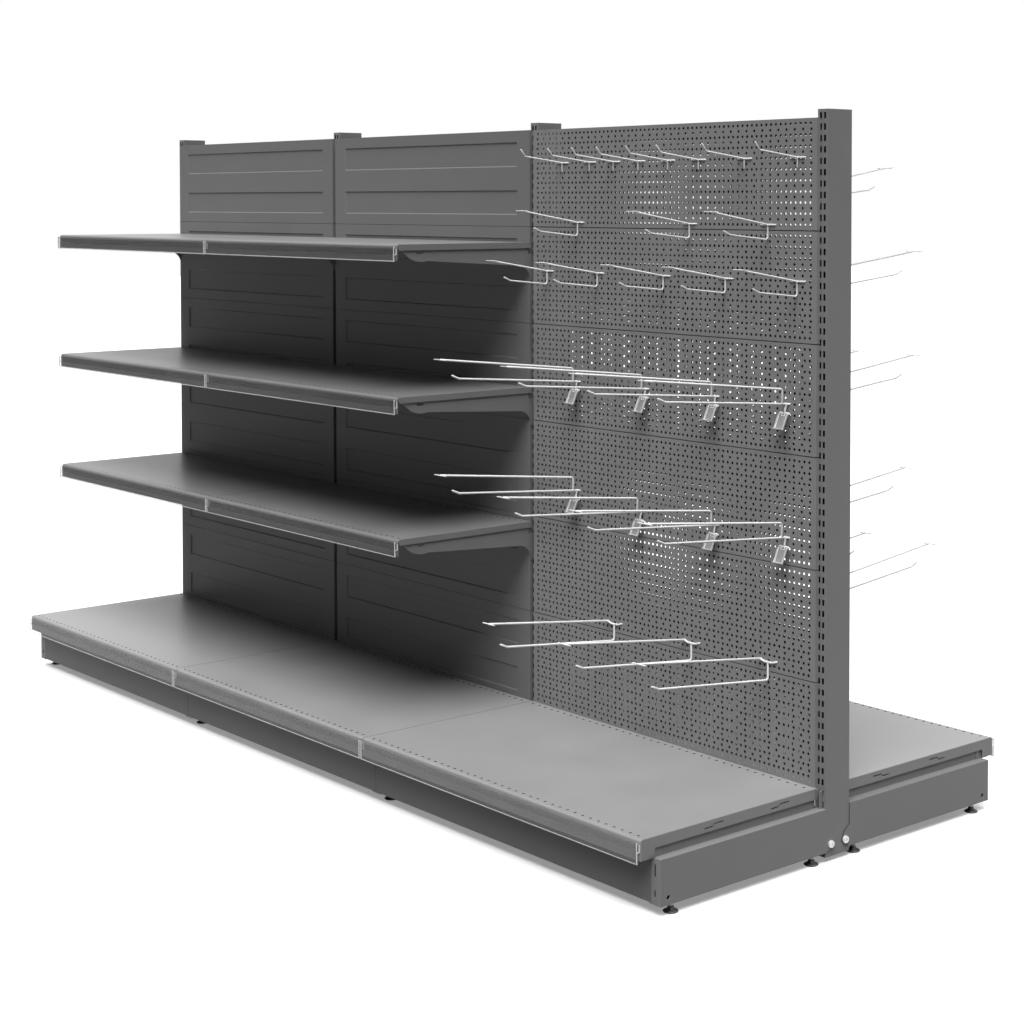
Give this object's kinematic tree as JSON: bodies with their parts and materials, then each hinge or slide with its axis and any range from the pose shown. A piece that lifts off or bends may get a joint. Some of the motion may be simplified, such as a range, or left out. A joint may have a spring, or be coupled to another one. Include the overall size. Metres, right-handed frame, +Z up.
{
  "type": "gondola shelving",
  "caption": "Double-sided shop gondola on slotted uprights: shelf bays on hooked brackets, a perforated bay with wire hooks, base decks, plinths and levelling feet.",
  "frame": {"origin": "floor level, at the middle of the row's box", "axes": "+X along the row towards the perforated bay, -Y out of the front, +Z up"},
  "size_m": [2.884, 1.174, 1.668],
  "materials": {
    "frame_paint": "satin grey powder coat",
    "panel_paint": "satin grey powder coat",
    "shelf_paint": "satin grey powder coat",
    "clear_rail": "clear extruded plastic",
    "hook_wire": "bright plated wire",
    "bolt_zinc": "zinc plate",
    "foot_black": "black moulded foot",
    "tag_plastic": "moulded plastic"
  },
  "bodies": {
    "frame": {"back_panels_front_1": "panel_paint", "back_panels_front_2": "panel_paint", "back_panels_front_3": "panel_paint", "back_panels_rear_1": "panel_paint", "back_panels_rear_2": "panel_paint", "back_panels_rear_3": "panel_paint", "base_deck_front_1": "shelf_paint", "base_deck_front_2": "shelf_paint", "base_deck_front_3": "shelf_paint", "base_deck_rear_1": "shelf_paint", "base_deck_rear_2": "shelf_paint", "base_deck_rear_3": "shelf_paint", "base_legs_front": "frame_paint", "base_legs_rear": "frame_paint", "deck_price_rails_front": "clear_rail", "deck_price_rails_rear": "clear_rail", "leg_bolts": "bolt_zinc", "long_hooks": "hook_wire", "peg_hooks": "hook_wire", "plinths_front": "frame_paint", "plinths_rear": "frame_paint", "shelf_brackets_front": "shelf_paint", "shelf_brackets_rear": "shelf_paint", "shelf_price_rails_front": "clear_rail", "shelf_price_rails_rear": "clear_rail", "shelves_front_1": "shelf_paint", "shelves_front_2": "shelf_paint", "shelves_rear_1": "shelf_paint", "shelves_rear_2": "shelf_paint", "short_hooks": "hook_wire", "tag_hooks": "hook_wire", "upright_1": "frame_paint", "upright_2": "frame_paint", "upright_3": "frame_paint", "upright_4": "frame_paint"},
    "foot_front_far_1": {"foot_front_far_1": "foot_black"},
    "foot_front_far_2": {"foot_front_far_2": "foot_black"},
    "foot_front_far_3": {"foot_front_far_3": "foot_black"},
    "foot_front_far_4": {"foot_front_far_4": "foot_black"},
    "foot_front_near_1": {"foot_front_near_1": "foot_black"},
    "foot_front_near_2": {"foot_front_near_2": "foot_black"},
    "foot_front_near_3": {"foot_front_near_3": "foot_black"},
    "foot_front_near_4": {"foot_front_near_4": "foot_black"},
    "foot_rear_far_1": {"foot_rear_far_1": "foot_black"},
    "foot_rear_far_2": {"foot_rear_far_2": "foot_black"},
    "foot_rear_far_3": {"foot_rear_far_3": "foot_black"},
    "foot_rear_far_4": {"foot_rear_far_4": "foot_black"},
    "foot_rear_near_1": {"foot_rear_near_1": "foot_black"},
    "foot_rear_near_2": {"foot_rear_near_2": "foot_black"},
    "foot_rear_near_3": {"foot_rear_near_3": "foot_black"},
    "foot_rear_near_4": {"foot_rear_near_4": "foot_black"},
    "tag_plate_1": {"tag_plate_1": "tag_plastic"},
    "tag_plate_2": {"tag_plate_2": "tag_plastic"},
    "tag_plate_3": {"tag_plate_3": "tag_plastic"},
    "tag_plate_4": {"tag_plate_4": "tag_plastic"},
    "tag_plate_5": {"tag_plate_5": "tag_plastic"},
    "tag_plate_6": {"tag_plate_6": "tag_plastic"},
    "tag_plate_7": {"tag_plate_7": "tag_plastic"},
    "tag_plate_8": {"tag_plate_8": "tag_plastic"}
  },
  "joints": [
    {"name": "foot_front_far_1_level", "type": "slide", "parent": "frame", "child": "foot_front_far_1", "axis": [0, 0, 1], "range_m": [-0.015, 0.008]},
    {"name": "foot_front_far_2_level", "type": "slide", "parent": "frame", "child": "foot_front_far_2", "axis": [0, 0, 1], "range_m": [-0.015, 0.008]},
    {"name": "foot_front_far_3_level", "type": "slide", "parent": "frame", "child": "foot_front_far_3", "axis": [0, 0, 1], "range_m": [-0.015, 0.008]},
    {"name": "foot_front_far_4_level", "type": "slide", "parent": "frame", "child": "foot_front_far_4", "axis": [0, 0, 1], "range_m": [-0.015, 0.008]},
    {"name": "foot_front_near_1_level", "type": "slide", "parent": "frame", "child": "foot_front_near_1", "axis": [0, 0, 1], "range_m": [-0.015, 0.008]},
    {"name": "foot_front_near_2_level", "type": "slide", "parent": "frame", "child": "foot_front_near_2", "axis": [0, 0, 1], "range_m": [-0.015, 0.008]},
    {"name": "foot_front_near_3_level", "type": "slide", "parent": "frame", "child": "foot_front_near_3", "axis": [0, 0, 1], "range_m": [-0.015, 0.008]},
    {"name": "foot_front_near_4_level", "type": "slide", "parent": "frame", "child": "foot_front_near_4", "axis": [0, 0, 1], "range_m": [-0.015, 0.008]},
    {"name": "foot_rear_far_1_level", "type": "slide", "parent": "frame", "child": "foot_rear_far_1", "axis": [0, 0, 1], "range_m": [-0.015, 0.008]},
    {"name": "foot_rear_far_2_level", "type": "slide", "parent": "frame", "child": "foot_rear_far_2", "axis": [0, 0, 1], "range_m": [-0.015, 0.008]},
    {"name": "foot_rear_far_3_level", "type": "slide", "parent": "frame", "child": "foot_rear_far_3", "axis": [0, 0, 1], "range_m": [-0.015, 0.008]},
    {"name": "foot_rear_far_4_level", "type": "slide", "parent": "frame", "child": "foot_rear_far_4", "axis": [0, 0, 1], "range_m": [-0.015, 0.008]},
    {"name": "foot_rear_near_1_level", "type": "slide", "parent": "frame", "child": "foot_rear_near_1", "axis": [0, 0, 1], "range_m": [-0.015, 0.008]},
    {"name": "foot_rear_near_2_level", "type": "slide", "parent": "frame", "child": "foot_rear_near_2", "axis": [0, 0, 1], "range_m": [-0.015, 0.008]},
    {"name": "foot_rear_near_3_level", "type": "slide", "parent": "frame", "child": "foot_rear_near_3", "axis": [0, 0, 1], "range_m": [-0.015, 0.008]},
    {"name": "foot_rear_near_4_level", "type": "slide", "parent": "frame", "child": "foot_rear_near_4", "axis": [0, 0, 1], "range_m": [-0.015, 0.008]},
    {"name": "tag_plate_1_swing", "type": "hinge", "parent": "frame", "child": "tag_plate_1", "pos_m": [0.605, -0.058, 0.9915], "axis": [-1, 0, 0], "range_deg": [-35, 65]},
    {"name": "tag_plate_2_swing", "type": "hinge", "parent": "frame", "child": "tag_plate_2", "pos_m": [0.86, -0.058, 0.9915], "axis": [-1, 0, 0], "range_deg": [-35, 65]},
    {"name": "tag_plate_3_swing", "type": "hinge", "parent": "frame", "child": "tag_plate_3", "pos_m": [1.1, -0.058, 0.9915], "axis": [-1, 0, 0], "range_deg": [-35, 65]},
    {"name": "tag_plate_4_swing", "type": "hinge", "parent": "frame", "child": "tag_plate_4", "pos_m": [1.325, -0.058, 0.9915], "axis": [-1, 0, 0], "range_deg": [-35, 65]},
    {"name": "tag_plate_5_swing", "type": "hinge", "parent": "frame", "child": "tag_plate_5", "pos_m": [0.605, -0.058, 0.7165], "axis": [-1, 0, 0], "range_deg": [-35, 65]},
    {"name": "tag_plate_6_swing", "type": "hinge", "parent": "frame", "child": "tag_plate_6", "pos_m": [0.845, -0.058, 0.6915], "axis": [-1, 0, 0], "range_deg": [-35, 65]},
    {"name": "tag_plate_7_swing", "type": "hinge", "parent": "frame", "child": "tag_plate_7", "pos_m": [1.1, -0.058, 0.6915], "axis": [-1, 0, 0], "range_deg": [-35, 65]},
    {"name": "tag_plate_8_swing", "type": "hinge", "parent": "frame", "child": "tag_plate_8", "pos_m": [1.325, -0.058, 0.6915], "axis": [-1, 0, 0], "range_deg": [-35, 65]}
  ]
}
